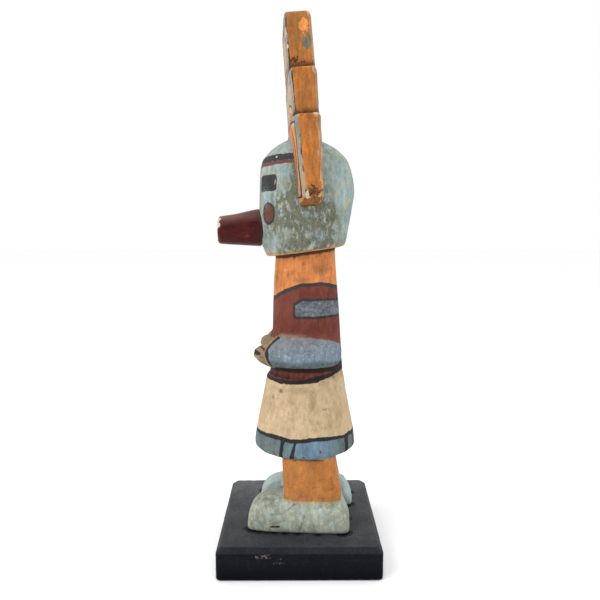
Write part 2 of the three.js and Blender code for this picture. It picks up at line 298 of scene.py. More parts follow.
# The carved figure, in millimetres in the doll's own frame
figureLook = {
    "voxel": 0.83,
    "roundingPasses": 5,
    "handCarving": 0.26,          # slow unevenness of the knife work
    "knifeFacets": 0.16,
    "fingerDepth": 0.55,
    "nickDepth": 0.5,
    "nearFootShift": 1.0,
    "farFootShift": 3.4,
    "trunkCentreY": 4.2,
    "rimHeight": 184.2,           # lower rim of the helmet at its middle
    "rimSlope": 0.133,
    "rimMiddleY": 2.8,
    "bareRim": 1.5,
    "hemBottom": 64.5,
    "footTop": 37.8,
    "footTurn": -4.0,
    "chinRounding": 1.9,          # how far the helmet's lower front edge is worn back
    "lineHalfWidth": 1.1,
    # brown smudges: degrees round from the front, height, half width, half height, strength
    "smudges": ((54, 102.6, 2.7, 2.3, 0.9), (41, 98.4, 1.3, 2.2, 0.8), (98, 98, 3.2, 12, 0.22),
                (113, 92.7, 2.6, 0.8, 0.7), (70, 88, 9, 3, 0.2), (60, 172, 6, 3, 0.3),
                (84, 128.4, 7, 2.2, 0.4), (118, 174, 7, 4, 0.55), (26, 168, 4, 15, 0.5),
                (75, 103.5, 22, 2.6, 0.2), (29, 120, 3, 1.5, 0.75), (53, 124.5, 2.4, 2.2, 0.55),
                (84, 168, 7, 2.2, 0.5), (95, 60, 6, 5, 0.3), (75, 52, 3, 6, 0.3), (80, 44, 7, 3, 0.3)),
    # olive grime with painted shade, and pale dabs, on both sides of the helmet, given in the same way
    "grimeAndShadeSpots": ((76, 226, 2.8, 16, 1.2), (70, 202, 12, 5.5, 0.75), (86, 190.5, 5, 3.6, 1.0),
                   (57, 187, 4.5, 3.4, 0.7), (124, 190, 6, 3, 0.5), (96, 210, 12, 3, 0.6),
                   (66, 208, 9, 9, 1.35), (56, 215, 6, 6, 0.55), (73, 218, 3.4, 8, 0.6)),
    "paleSpots": ((103, 194.5, 8, 6, 0.9), (97, 205, 10, 2.4, 0.6), (45, 190, 8, 5, 0.5),
                  (30, 215, 6, 7, 0.4), (125, 222, 7, 16, 0.35)),
    # folds of the moccasins: Y and Z of each end
    "creases": ((-2, 36, -9, 31), (-9, 31, -16, 30), (4, 30, 1, 20), (-8, 27, -15, 24)),
    "armRise": 4.4,               # the right hand and its arm's paint are this much higher
    # painted lines: degrees round from the front, then the height at each
    "collar": ((0, 21, 52, 80, 114, 159, 180), (155.2, 156.7, 161.1, 165, 165.7, 163.2, 162.4)),
    "waist": ((0, 17, 51, 81, 111, 149, 180), (107.5, 107.7, 107.8, 108.5, 110.4, 113.2, 113.8)),
    "hem": ((0, 14, 49, 72, 100, 132, 168, 180), (74.8, 75, 76.2, 75.4, 76.6, 74.8, 74.5, 74.4)),
    "ledge": ((45, 60, 96, 118, 140), (135.5, 135.7, 135.7, 133.4, 130.0)),
    # strokes across the hem: degrees round from the front, half width, slant
    "hemTicks": ((62.6, 1.15, 0.1), (75.8, 1.15, 0.18), (143, 2.2, 0.1), (160, 1.1, 0.2)),
    "helmetRadius": 28.2,
    "eye": (35, 223.3, 8.6, 4.6, 1.6),     # degrees round, height, half width, half height, corner
    "cheek": (38.4, 206.2, 5.9, 6.5),
    "browHeight": 236.6,
    "paints": {
        "wood": (0.42, 0.25, 0.12),
        "woodDark": (0.30, 0.165, 0.075),
        "orange": (0.56, 0.205, 0.070),
        "leg": (0.44, 0.175, 0.052),
        "maroon": (0.150, 0.042, 0.031),
        "kilt": (0.47, 0.355, 0.225),
        "hem": (0.125, 0.205, 0.29),
        "hemGrey": (0.115, 0.145, 0.15),
        "helmet": (0.335, 0.40, 0.385),
        "foot": (0.41, 0.455, 0.41),
        "farFoot": (0.36, 0.47, 0.52),
        "arm": (0.16, 0.20, 0.235),
        "armBlue": (0.215, 0.32, 0.45),
        # painted light on the arm's upper facet, painted shade on its lower part
        "armLitTop": (0.185, 0.19, 0.215),
        "armShadedLow": (0.088, 0.118, 0.136),
        "hand": (0.245, 0.175, 0.105),
        "patch": (0.098, 0.106, 0.117),
        "patchBlue": (0.175, 0.20, 0.255),
        "cheek": (0.145, 0.055, 0.044),
        "brow": (0.15, 0.045, 0.045),
        "fleck": (0.62, 0.60, 0.55),
        "primer": (0.46, 0.34, 0.19),
        "pink": (0.17, 0.035, 0.07),
        "ink": (0.023, 0.022, 0.025),
        "greyInk": (0.040, 0.040, 0.042),
        "soot": (0.018, 0.013, 0.010),
        # dust with a painted highlight, for the top of the arm's ledge
        "dustAndHighlight": (0.36, 0.25, 0.17),
        "smudge": (0.12, 0.075, 0.045),
        "paleDab": (0.40, 0.50, 0.56),
        "crumb": (0.05, 0.045, 0.03),
        "oliveGrimeAndShade": (0.108, 0.105, 0.067),
    },
}


# Places on the figure that the carving and the paint both use
def figurePlaces(points):
    look = figureLook
    x, y, z = points.T
    azimuth = np.degrees(np.arctan2(x, -(y - look["trunkCentreY"])))
    side = np.abs(azimuth)
    radius = np.hypot(x, y - look["trunkCentreY"])
    torsoRadius = np.interp(z, (108, 110.2, 119.7, 131.4, 143, 154.7, 168, 181),
                            (24.6, 22.9, 22.1, 21.5, 21, 20.4, 19, 18.2))
    proud = np.hypot(x / 1.02, y - 4.5) - torsoRadius
    armBody = both(proud - 0.8, both(z - 114.5, 143 - z))
    wristSide = np.interp(z, (117, 123, 127.7, 131, 135), (51, 46.5, 45, 49, 57))
    wrist = np.radians(side - wristSide) * radius
    rim = look["rimHeight"] + look["rimSlope"] * (y - look["rimMiddleY"])
    turn = math.radians(-look["footTurn"])
    footY = y * math.cos(turn) + x * math.sin(turn)
    footY = footY - np.where(x < 0, look["farFootShift"], look["nearFootShift"])
    return {"x": x, "y": y, "z": z, "side": side, "azimuth": azimuth, "radius": radius,
            "armBody": armBody, "wrist": wrist, "rim": rim, "footY": footY}


def fingerGrooves(place):
    grooves = np.zeros(len(place["z"]))
    onHand = easeStep(-place["wrist"], 3, 6) * easeStep(place["armBody"], 0.5, 2)
    rise = np.where(place["x"] < 0, figureLook["armRise"], 0)
    for height in (119.4, 123.2, 127.2):
        distance = place["z"] - rise - height + 0.05 * (place["side"] - 25)
        grooves += np.exp(-(distance / 0.6) ** 2)
    return grooves * onHand


# Folds of the moccasin, from the ankle down to the toe
def footCreases(place):
    creases = np.zeros(len(place["z"]))
    y, z = place["footY"], place["z"]
    for startY, startZ, endY, endZ in figureLook["creases"]:
        runY, runZ = endY - startY, endZ - startZ
        share = clamp(((y - startY) * runY + (z - startZ) * runZ) / (runY ** 2 + runZ ** 2))
        gap = np.hypot(y - startY - share * runY, z - startZ - share * runZ)
        creases = np.maximum(creases, np.exp(-(gap / 0.8) ** 2))
    return creases


# Flats left by long knife strokes, as cuts across the round trunk
def knifeFlats(place, seed):
    width = 11.0
    band = place["z"] / 34.0 + 0.35 * np.sin(np.radians(place["azimuth"]) * 2 + seed)
    row = np.floor(band)
    along = np.radians(place["azimuth"]) * 26.0 + 5.3 * np.sin(row * 2.4 + seed)
    across = (along / width - np.floor(along / width) - 0.5) * 2
    return 0.33 - across ** 2


def makeFigure():
    look = figureLook
    piece, edges, points, normals = roundedBlank("figure", "carvedFigure", look)
    place = figurePlaces(points)
    z, side, radius = place["z"], place["side"], place["radius"]
    sharp = clamp(-hollowness(points, normals, edges, 10) * 5)
    feet = easeStep(-z, -44, -38)
    soles = easeStep(z, 19.2, 21.5)

    push = look["handCarving"] * softNoise(points, (13, 13, 22), 3)
    push += 0.09 * softNoise(points, (4, 4, 7), 4)
    push += look["knifeFacets"] * knifeFlats(place, 1) * (1 - feet)
    push += 0.2 * feet * softNoise(points, 3.2, 5) + 0.25 * feet * softNoise(points, 7, 6)
    push -= 0.35 * feet * footCreases(place)
    push -= look["fingerDepth"] * fingerGrooves(place)
    lowerFront = easeStep(-z, -190.5, -182.5) * easeStep(-side, -75, -25)
    lowerFront *= easeStep(radius, 20, 25) * np.where(z > 178, 1, 0)
    inward = -look["chinRounding"] * lowerFront / radius
    nicks = easeStep(softNoise(points, (2.6, 2.6, 2.2), 7), 0.45, 0.8)
    push -= look["nickDepth"] * nicks * sharp
    points = points + normals * (push * soles)[:, None]
    points[:, 0] += inward * place["x"]
    points[:, 1] += inward * (place["y"] - look["trunkCentreY"])
    points[:, 2] = np.maximum(points[:, 2], 19.0)
    writePoints(piece, points)
    smoothShade(piece)
    paintFigure(piece, points, edges)
    return piece


def paintFigure(piece, points, edges):
    look = figureLook
    normals = readNormals(piece)
    place = figurePlaces(points)
    x, y, z, side, radius = (place[key] for key in ("x", "y", "z", "side", "radius"))
    armBody, wrist, rim, footY = (place[key] for key in ("armBody", "wrist", "rim", "footY"))
    wander = 0.42 * softNoise(points, 8, 11) + 0.22 * softNoise(points, 3, 12)
    line = look["lineHalfWidth"] * (1 + 0.28 * softNoise(points, 7, 16))
    arc = np.radians(side) * radius

    collar = np.interp(side, *look["collar"]) + wander
    waist = np.interp(side, *look["waist"]) + wander
    hem = np.interp(side, *look["hem"]) + wander
    underHelmet = both(rim - z + 1.2, 21.2 - radius)
    onTrunk = np.where(z > 176, underHelmet, 9.0)
    onHelmet = np.where(z > 176, either(z - rim - 0.6, radius - 21.5), -9.0)

    footTop = look["footTop"] + 8 * easeStep(-footY, 8.2, 10.2)
    footTop += 5 * easeStep(footY, 24.5, 27)
    foot = footTop - z + 0.8 * wander
    legs = both(look["hemBottom"] - 0.4 - z, 3 - foot)
    orange = both(z - collar, onTrunk)
    maroon = both(collar - z, z - waist)
    kilt = both(waist - z, z - hem)
    hemBand = both(hem - z, z - look["hemBottom"] + 0.3)
    helmet = both(z - rim - look["bareRim"] - 0.6 * wander, onHelmet)
    ledge = np.interp(side, *look["ledge"]) - z + 0.6 * wander
    ledge += np.where(x < 0, look["armRise"], 0)
    arm = both(both(armBody, wrist), ledge)
    hand = both(both(armBody, -wrist), np.where(side > 49, ledge, 9))
    # The arm's upper facet in a greyer tone, as painted light
    armLitTop = both(arm, z - 130.6 - 0.03 * (side - 80) + 1.5 * softNoise(points, 4, 13))

    along = arc - np.radians(67) * 20.5
    patchHeight = z - 151.7 + 0.024 * along - wander + 0.02 * (z - 151.7) * along / 6
    patchOuter = roundedBox(both(along - 30, 0), patchHeight, 30, 6.2, 3.4)
    patchOuter = both(patchOuter, 0.5 * (along - 1.7 * (z - 154.6)) + wander)
    ink = line + 0.4 * easeStep(-side, -66, -50) - np.abs(z - collar)
    ink = np.where(onTrunk > 0, ink, -9)
    ink = either(ink, both(patchOuter, 1.6 - patchOuter))
    thick = easeStep(side, 84, 101) * easeStep(-side, -110, -106)
    waistWidth = line + 0.05 + 0.75 * thick - 0.3 * easeStep(-side, -50, -30)
    ink = either(ink, waistWidth - np.abs(z - waist))
    ink = either(ink, line - np.abs(z - hem))
    # A thin painted shadow line in ink under the arms
    underArmShadow = 0.95 - np.abs(z - 116.3 - 0.0012 * (side - 80) ** 2)
    underArmShadow = both(underArmShadow, 0.3 * both(side - 46, 118 - side))
    ink = either(ink, underArmShadow + 0.5 * wander)
    ink = np.where(armBody > 0.2, -9, ink)

    inHem = both(hem - z + 1, z - look["hemBottom"])
    for middle, halfWidth, slant in look["hemTicks"]:
        centre = np.radians(middle) * radius + slant * (z - 70)
        ink = either(ink, both(halfWidth + 0.9 * wander - np.abs(arc - centre), inHem))
    wristWidth = 1.1 + 0.7 * np.exp(-((z - 125.5) / 3) ** 2) + 0.4 * wander
    wristLine = both(wristWidth - np.abs(wrist), both(armBody, ledge))
    ink = either(ink, wristLine)
    fingerMark = np.where((side < 36) & (x > 0), ellipseInside(side - 15, z - 124.3, 20, 1.35), -9)
    ink = either(ink, both(fingerMark + 0.4 * wander, armBody))
    inGroove = np.where(z > np.where(x > 0, 121.5, 126), -9, fingerGrooves(place) * 1.25 - 1.0)
    ink = either(ink, both(inGroove, 1))

    headRadius = look["helmetRadius"]
    headArc = np.radians(side) * headRadius
    middle, height, halfWidth, halfHeight, corner = look["eye"]
    across = headArc - np.radians(middle) * headRadius
    eye = roundedBox(across, z - height + 0.5 * wander, halfWidth, halfHeight, corner)
    middle, height, halfWidth, halfHeight = look["cheek"]
    across = headArc - np.radians(middle) * headRadius
    cheekOuter = ellipseInside(across, z - height, halfWidth, halfHeight) + 0.3 * wander
    browHeight = look["browHeight"] + 0.016 * side + 0.5 * wander
    brow = both(1.95 - np.abs(z - browHeight), 78 - side)
    browUnder = both(1.05 - np.abs(z - browHeight + 2.9), 74 - side)
    ink = either(ink, either(eye, both(cheekOuter, 1.5 - cheekOuter)))
    ink = either(ink, brow)
    scratch = both(0.62 - np.abs(z - 23 - 0.1 * (y + 14)), 3.0 - np.abs(y + 14.4))
    ink = either(ink, np.where(x > 26, scratch, -9))

    flecks = -9 * np.ones(len(z))
    for middle, height, halfWidth, halfHeight in ((48.5, 237.8, 0.6, 0.5), (49.5, 223.4, 0.26, 1.7)):
        across = headArc - np.radians(middle) * headRadius - 0.15 * (z - height)
        flecks = either(flecks, ellipseInside(across, z - height, halfWidth, halfHeight))
    pink = ellipseInside(arc - np.radians(105) * radius + 0.5 * (z - 68.8), z - 68.8, 0.55, 1.2)
    pink = np.where(x > 0, pink, -9)

    hollow = hollowness(points, normals, edges, 24)
    fine = hollowness(points, normals, edges, 5)
    upper = easeStep(z, 60, 66)
    # Darker in hollows and creases: grime and painted shade
    dirtAndShade = (0.35 + 0.65 * upper) * (0.8 * clamp(hollow * 1.3) + 0.8 * clamp(fine * 9))
    # Painted shadow under the helmet's rim
    dirtAndShade += 1.3 * easeStep(-np.abs(z - rim + 0.4), -1.6, -0.3) * np.where(radius < 22, 1, 0)
    dirtAndShade *= np.where((armBody > -3) & (z > 128), 0.25, 1)
    # Painted shadow under the arms
    dirtAndShade += 2.6 * easeStep(-np.abs(z - 116.4), -3.0, -1.0) * np.where(armBody < 0.4, 1, 0)
    # Painted shade where the feet meet the base
    dirtAndShade += 0.45 * easeStep(-z, -21, -19.2)
    # Painted shade band between the waist and the arms
    dirtAndShade += 0.22 * easeStep(-z, -119, -117) * easeStep(z, 107, 109)
    # Darker in the folds of the moccasins: dirt and painted shade
    dirtAndShade += 0.3 * footCreases(place) * easeStep(-z, -44, -38)
    wornEdge = (clamp(-hollow * 1.1 - 0.25) + clamp(-fine * 8 - 0.15)) * upper
    wornEdge = np.where((armBody > 0) | (np.abs(z - waist) < 5), 0.15 * wornEdge, wornEdge)
    wornEdge = np.where(z < 72, 0.4 * wornEdge, wornEdge)
    smudge = np.zeros(len(z))
    for middle, height, halfWidth, halfHeight, depth in look["smudges"]:
        across = arc - np.radians(middle) * radius
        spot = 1 - np.hypot(across / halfWidth, (z - height) / halfHeight)
        smudge += np.where(x > 0, depth * easeStep(spot + 0.8 * wander, 0, 0.9), 0)

    boardDistance = np.abs(y - 6.5 - 0.085 * x) - 7
    lowCheek = np.exp(-((side - 92) / 42) ** 2)
    # Olive grime and painted shade: heavier low on the helmet and next to the board; less on the dome and at
    # the rear, as painted light
    oliveGrimeAndShade = 0.62 + (0.35 + 0.5 * lowCheek) * easeStep(-z, -216, -198)
    oliveGrimeAndShade += 0.85 * easeStep(-boardDistance, -10, 0) * easeStep(-z, -245, -212)
    oliveGrimeAndShade = oliveGrimeAndShade - 0.3 * easeStep(z, 236, 248) - 0.25 * easeStep(y, 12, 24) * easeStep(z, 196, 210)
    pale = np.zeros(len(z))
    for spots, sign in ((look["grimeAndShadeSpots"], 1), (look["paleSpots"], -1)):
        for middle, height, halfWidth, halfHeight, depth in spots:
            spot = 1 - np.hypot((side - middle) * 0.492 / halfWidth, (z - height) / halfHeight)
            spot = depth * easeStep(spot + 0.5 * wander, -0.3, 0.8)
            oliveGrimeAndShade += spot * sign
            pale += np.where(sign < 0, spot, 0)
    oliveGrimeAndShade = np.where(helmet > -1, oliveGrimeAndShade, 0) * clamp(0.85 + 0.5 * softNoise(points, (9, 9, 14), 21))
    footOlive = np.where(x > 0, 0.75, 0.15) + 0.25 * easeStep(-y, 8, 20)
    oliveGrimeAndShade += footOlive * easeStep(-z, -44, -36) * clamp(0.75 + 0.5 * softNoise(points, (9, 9, 6), 22))
    streaky = 1 - 0.72 * easeStep(-z, -112, -106) * np.where(hemBand > -0.5, 0.4, 1)
    # A tan strip on the top of the arm's ledge: dust and a painted highlight
    ledgeDustAndHighlight = 0.5 * np.exp(-((ledge + 0.7) / 0.7) ** 2) * easeStep(-side, -96, -70) * easeStep(side, 46, 52)
    primer = np.where(z < 50, 0.55 - np.abs(foot - 0.4), -9)
    rimPrimer = np.where((radius > 21) & (z < 192), 2.0 - np.abs(z - rim), -9)
    primer = either(primer, rimPrimer)
    # The lower part of the arm painted darker, as painted shade
    shadedLowArm = both(arm, 122.3 - z + 1.6 * softNoise(points, 4, 14))
    chatter = easeStep(-z, -60, -52) * easeStep(z, 36, 39)
    chatter += 0.5 * easeStep(z, 160, 170) * easeStep(-z, -190, -180)
    storeValues(piece, {
        "orangeZone": orange, "legZone": legs, "maroonZone": maroon, "kiltZone": kilt,
        "hemZone": hemBand, "armShadedLowZone": shadedLowArm, "smudge": smudge, "chatter": chatter,
        "helmetZone": helmet, "footZone": foot, "armZone": arm, "armLitTopZone": armLitTop, "handZone": hand,
        "patchZone": np.where(armBody > 0.2, -9, patchOuter - 1.6), "inkZone": ink,
        "cheekZone": cheekOuter - 1.4, "browZone": browUnder, "fleckZone": flecks,
        "pinkZone": pink, "primerZone": primer, "dirtAndShade": dirtAndShade,
        "ledgeDustAndHighlight": np.where(x > 0, ledgeDustAndHighlight, 0),
        "upperInk": easeStep(z, 141, 149), "wornEdge": wornEdge, "oliveGrimeAndShade": oliveGrimeAndShade,
        "sideBlue": np.exp(-((side - 96) / 26) ** 2),
        "pale": np.where(helmet > -1, pale, 0), "streaky": streaky,
        "farBlue": 0.7 * easeStep(-x, 0, 4) * easeStep(-z, -44, -38),
    })


def figureMaterial():
    paints = figureLook["paints"]
    material, tree = startMaterial("earthPaintedRoot")
    ragged = raggedEdge(tree)
    colour = mixColour(tree, grain(tree, 1.4, (1, 1, 14), 4), paints["woodDark"], paints["wood"])
    layers = ("orange", "leg", "maroon", "kilt", "hem", "helmet", "foot", "arm", "armLitTop", "armShadedLow",
              "hand", "primer", "patch", "cheek", "brow", "ink", "fleck", "pink")
    thickness = 0.0
    for paint in layers:
        mask = painted(tree, paint + "Zone", ragged, 1.3 if paint in ("armLitTop", "armShadedLow") else 0.18)
        tone = paints[paint]
        if paint == "hem":
            tone = mixColour(tree, stored(tree, "sideBlue"), paints["hemGrey"], tone)
        if paint == "ink":
            tone = mixColour(tree, stored(tree, "upperInk"), tone, paints["greyInk"])
        if paint == "arm":
            dab = ranged(tree, grain(tree, 1.2, (1.5, 1.5, 1), 4, 0.65), 0.5, 0.66)
            tone = mixColour(tree, dab, tone, paints["armBlue"])
        if paint == "patch":
            dab = ranged(tree, grain(tree, 2.0, (1.3, 1.3, 1), 5, 0.7), 0.42, 0.62)
            tone = mixColour(tree, dab, tone, paints["patchBlue"])
        if paint in ("helmet", "foot"):
            long = 2.2 if paint == "helmet" else 1.0
            lumps = 5 if paint == "helmet" else 3.4
            wash = ranged(tree, grain(tree, lumps, (1, 1, long), 5, 0.65), 0.38, 0.66)
            cool = (0.80, 0.93, 1.06) if paint == "helmet" else (0.86, 0.94, 0.98)
            warm = (1.12, 1.02, 0.86) if paint == "helmet" else (1.05, 1.0, 0.88)
            tone = mixColour(tree, wash, toned(tone, cool), toned(tone, warm))
        if paint == "foot":
            tone = mixColour(tree, stored(tree, "farBlue"), tone, paints["farFoot"])
        colour = mixColour(tree, mask, colour, tone)
        if paint == "cheek":
            thickness = mask
        if paint == "ink":
            thickness = maths(tree, "MAXIMUM", thickness, mask)
    colour, streaks, speck = weathered(tree, colour, paints, 0.55, 1.5, stored(tree, "streaky"))
    marks = ranged(tree, grain(tree, 1.1, (5, 5, 1), 4, 0.6), 0.56, 0.70)
    marks = times(tree, marks, stored(tree, "chatter"))
    dark = mixColour(tree, 1.0, colour, (0.62, 0.56, 0.5), "MULTIPLY")
    colour = mixColour(tree, times(tree, marks, 0.8), colour, dark)
    # Dust and painted highlight on the arm's ledge
    colour = mixColour(tree, stored(tree, "ledgeDustAndHighlight"), colour, paints["dustAndHighlight"])
    smear = times(tree, stored(tree, "smudge"), ranged(tree, speck, 0.3, 0.6, 0.35, 1.0))
    colour = mixColour(tree, smear, colour, paints["smudge"])
    dabs = ranged(tree, grain(tree, 1.5, (1, 1, 1.7), 5, 0.7), 0.46, 0.62)
    paleness = maths(tree, "MULTIPLY", stored(tree, "pale"), 1.0, True)
    colour = mixColour(tree, times(tree, paleness, dabs), colour, paints["paleDab"])
    patchy = grain(tree, 3.0, (1, 1, 1.5), 6, 0.74)
    # Olive grime and painted shade
    oliveGrimeAndShade = times(tree, stored(tree, "oliveGrimeAndShade"), ranged(tree, patchy, 0.32, 0.62))
    lessOnInk = maths(tree, "SUBTRACT", 0.82, times(tree, thickness, 0.75))
    oliveGrimeAndShade = times(tree, oliveGrimeAndShade, lessOnInk)
    colour = mixColour(tree, maths(tree, "MINIMUM", oliveGrimeAndShade, 0.85), colour, paints["oliveGrimeAndShade"])
    crumbs = times(tree, ranged(tree, oliveGrimeAndShade, 0.5, 1.1), ranged(tree, speck, 0.5, 0.64))
    colour = mixColour(tree, times(tree, crumbs, 0.7), colour, paints["crumb"])
    height = plus(tree, times(tree, streaks, 0.5), times(tree, speck, 0.6))
    height = plus(tree, height, times(tree, thickness, 0.15))
    roughness = ranged(tree, patchy, 0.3, 0.7, 0.62, 0.86)
    finishMaterial(tree, colour, roughness, height, 0.25, 1.0, 0.12)
    return material


# The stepped board over the helmet
headboardLook = {
    "voxel": 0.6,
    "roundingPasses": 3,
    "handCarving": 0.2,
    "nickDepth": 0.7,
    "lowerHeight": 214.0,
    "topHeight": 315.0,
    "stepHeights": (283.6, 258.0),
    "halfWidths": (24.0, 32.0, 40.0),
    "frontY": -1.0,
    "lean": 0.0845,               # run of the front face towards the viewer for each unit up
    "lowerTurn": 5.5,
    "topTurn": 2.2,
    "greyBorder": 6.4,
    "creamRing": 3.0,
    "archRadius": 29.0,
    "archHeight": 236.0,
    "wingCrown": 2.5,             # the near lower wing's front face is rounded by this much
    "fallenDepth": 0.9,           # how much has broken away near the top step
    # marks on the near edge: Y and Z of the middle, half width, half height
    "tealSpot": (4.4, 298.4, 2.7, 4.2),
    "brightSpot": (2.6, 307.4, 2.8, 3.8),
    "chips": ((4.3, 215.6, 1.1, 2.1), (8.8, 258.4, 1.3, 0.8), (-7.7, 304.6, 0.7, 2.2), (-6.2, 296, 0.6, 1.6)),
    "paints": {
        "wood": (0.46, 0.26, 0.11),
        "orange": (0.46, 0.168, 0.045),
        # painted shade on the board's underside
        "underShade": (0.215, 0.090, 0.024),
        "bright": (0.74, 0.28, 0.09),
        "cream": (0.42, 0.32, 0.23),
        "tan": (0.36, 0.24, 0.145),
        "ring": (0.50, 0.36, 0.25),
        "rub": (0.50, 0.29, 0.17),
        "arch": (0.50, 0.20, 0.075),
        "grey": (0.24, 0.25, 0.22),
        "line": (0.07, 0.022, 0.018),
        "back": (0.36, 0.22, 0.12),
        "teal": (0.10, 0.13, 0.115),
        "chip": (0.55, 0.42, 0.27),
        "mottle": (0.29, 0.125, 0.032),
        "rust": (0.51, 0.165, 0.030),
        "stain": (0.215, 0.118, 0.038),
        "pit": (0.13, 0.055, 0.015),
        "soot": (0.035, 0.02, 0.011),
    },
}


def headboardPlaces(points):
    look = headboardLook
    x, y, z = points.T
    share = (z - look["lowerHeight"]) / (look["topHeight"] - look["lowerHeight"])
    turn = np.radians(look["lowerTurn"] + (look["topTurn"] - look["lowerTurn"]) * share)
    frontY = look["frontY"] - look["lean"] * (z - look["lowerHeight"]) + x * np.tan(turn)
    depth = y - frontY
    height = z - look["lean"] * (y - frontY)
    tops = (look["topHeight"], *look["stepHeights"])
    inside = np.full(len(x), -99.0)
    for halfWidth, top in zip(look["halfWidths"], tops):
        inside = either(inside, both(halfWidth - np.abs(x), top - height))
    inside = both(inside, height - look["lowerHeight"] + 3.5)
    return {"x": x, "y": y, "z": z, "depth": depth, "height": height, "inside": inside}


def makeHeadboard():
    look = headboardLook
    piece, edges, points, normals = roundedBlank("headboard", "carvedHeadboard", look)
    sharp = clamp(-hollowness(points, normals, edges, 8) * 6)
    push = look["handCarving"] * softNoise(points, (12, 12, 18), 31)
    push += 0.07 * softNoise(points, (3, 3, 7), 32)
    nicks = easeStep(softNoise(points, (2.8, 2.8, 3.4), 33), 0.35, 0.75)
    push -= look["nickDepth"] * nicks * sharp
    x, y, z = points.T
    fallen = easeStep(x, -31, -22) * easeStep(-x, 22, 26) * easeStep(z, 299, 302)
    push -= look["fallenDepth"] * fallen * easeStep(-normals[:, 1], 0, 0.5)
    points = points + normals * push[:, None]
    place = headboardPlaces(points)
    crown = look["wingCrown"] * np.sin(np.pi * clamp((x - 13) / 26.5)) * easeStep(-z, -263, -254)
    points[:, 1] -= crown * (1 - clamp(place["depth"] / 7))
    writePoints(piece, points)
    smoothShade(piece)

    normals = readNormals(piece)
    x, y, z = points.T
    wander = 0.3 * softNoise(points, 7, 34) + 0.15 * softNoise(points, 2.5, 35)
    front = both(1.1 - place["depth"], 2.0)
    inside = place["inside"] + wander
    arch = look["archRadius"] - np.hypot(x, z - look["archHeight"]) + wander
    field = inside - look["greyBorder"] * (1 - 0.4 * easeStep(-z, -262, -256))
    grey = front
    cream = both(front, field)
    wingField = both(field, 252 - z)
    archPaint = both(front, either(both(arch, inside - 3), wingField))
    ring = both(front, both(look["creamRing"] - np.abs(arch + 1), inside - 2))
    line = both(front, 0.28 - inside)
    line = either(line, both(front, 0.5 - np.abs(field)))
    line = either(line, both(front, 0.5 - np.abs(arch + look["creamRing"] + 1)))
    stepped = both(15 - np.abs(x), 303 - z)
    stepped = either(stepped, both(9 - np.abs(x), 308 - z))
    stepped = both(stepped, z - 290)
    line = either(line, both(front, 0.6 - np.abs(stepped + wander)))
    for offset in (-8, 0, 8):
        stroke = both(0.8 - np.abs(x - offset), both(289 - z, z - 279))
        line = either(line, both(stroke, front))
    tailLine = both(np.abs(x) - 33, 0.75 - np.abs(inside - 4.5))
    tailTan = both(front, both(both(inside - 1, 8 - inside), 231 - z))
    line = either(line, both(front, both(tailLine, 231 - z)))
    back = both(easeStep(normals[:, 1], 0.3, 0.75) * 4 - 1.2, place["inside"] + 1.2 + wander)

    onNearEdge = easeStep(x, 20, 22)
    middleY, middleZ, halfY, halfZ = look["tealSpot"]
    teal = ellipseInside(y - middleY, z - middleZ, halfY, halfZ) + 1.4 * wander
    teal = np.where(onNearEdge > 0.5, teal, -9)
    middleY, middleZ, halfY, halfZ = look["brightSpot"]
    bright = ellipseInside(y - middleY, z - middleZ, halfY, halfZ) + 1.6 * wander
    bright = np.where(onNearEdge > 0.5, bright, -9)
    chips = -9 * np.ones(len(x))
    for middleY, middleZ, halfY, halfZ in look["chips"]:
        chips = either(chips, ellipseInside(y - middleY, z - middleZ, halfY, halfZ) + 0.9 * wander)
    speckles = softNoise(points, (1.1, 1.1, 1.3), 36)
    lowerEdge = both(0.7 - np.abs(z - 213.7 - 0.07 * (y - 4)), y - 3.6) + 0.7 * speckles
    chips = either(chips, both(lowerEdge, x - 38.5))
    chips = np.where(x > 19, chips, -9)
    sooty = 0.4 * easeStep(ellipseInside(y - 8, z - 221, 5, 8) + wander, -1, 4) * easeStep(x, 34, 37)
    for step, reach in zip(look["stepHeights"], (7.5, 5.5)):
        above = z - step - look["lean"] * place["depth"]
        sooty += 0.8 * easeStep(above, -1.2, 0.4) * easeStep(-above, -reach, -1)
    fine = hollowness(points, normals, edges, 5)
    hollow = hollowness(points, normals, edges, 20)
    # Painted shade on the board next to the helmet
    helmetGapShade = easeStep(-np.abs(np.hypot(x, y - 4.5) - 29.5), -3.2, 0) * easeStep(-z, -248, -238)
    # Painted shade on the downward faces of the lowest tier
    underShade = both(easeStep(-normals[:, 2], 0.4, 0.7) * 4 - 2, 225 - z)
    crumbs = softNoise(points, 0.9, 37)
    soot = ellipseInside(y - 8.2, z - 217.2, 4.8, 3.2) - 0.9 + 3.4 * crumbs
    soot = either(soot, ellipseInside(y + 2.6, z - 288.6, 3.4, 3.6) - 1.8 + 3.2 * crumbs)
    soot = either(soot, ellipseInside(y - 4.0, z - 287.6, 4.5, 2.4) - 1.9 + 3.0 * crumbs)
    soot = np.where(x > 19, both(soot, x - 22), -9)
    rubbed = 4 * clamp(-fine * 8) - 2.0 + 1.3 * softNoise(points, (1.6, 1.6, 7), 38)
    rubbed = np.where((place["depth"] > 7) & (x > 19), rubbed - 1.3 * easeStep(z, 254, 260), -9)
    stain = 0.14 + 0.4 * easeStep(z, 284, 300) + 0.2 * easeStep(-np.abs(z - 262), -6, -1)
    # The dirt-and-shade value: grime at the steps and in hollows, with painted shade next to the helmet
    storeValues(piece, {
        "rubZone": rubbed, "stain": stain, "underShadeZone": underShade, "sootZone": soot,
        "greyZone": grey, "creamZone": cream, "ringZone": ring, "archZone": archPaint,
        "tanZone": tailTan, "lineZone": line, "backZone": back, "tealZone": teal + 0.8 * speckles,
        "brightZone": bright + 1.6 * speckles, "chipZone": chips + 0.5 * speckles,
        "dirtAndShade": sooty + clamp(hollow * 1.4) + 0.7 * helmetGapShade,
        "wornEdge": (clamp(-fine * 6) + clamp(-hollow * 0.8)) * (1 - 0.5 * easeStep(z, 259, 264)),
    })
    return piece


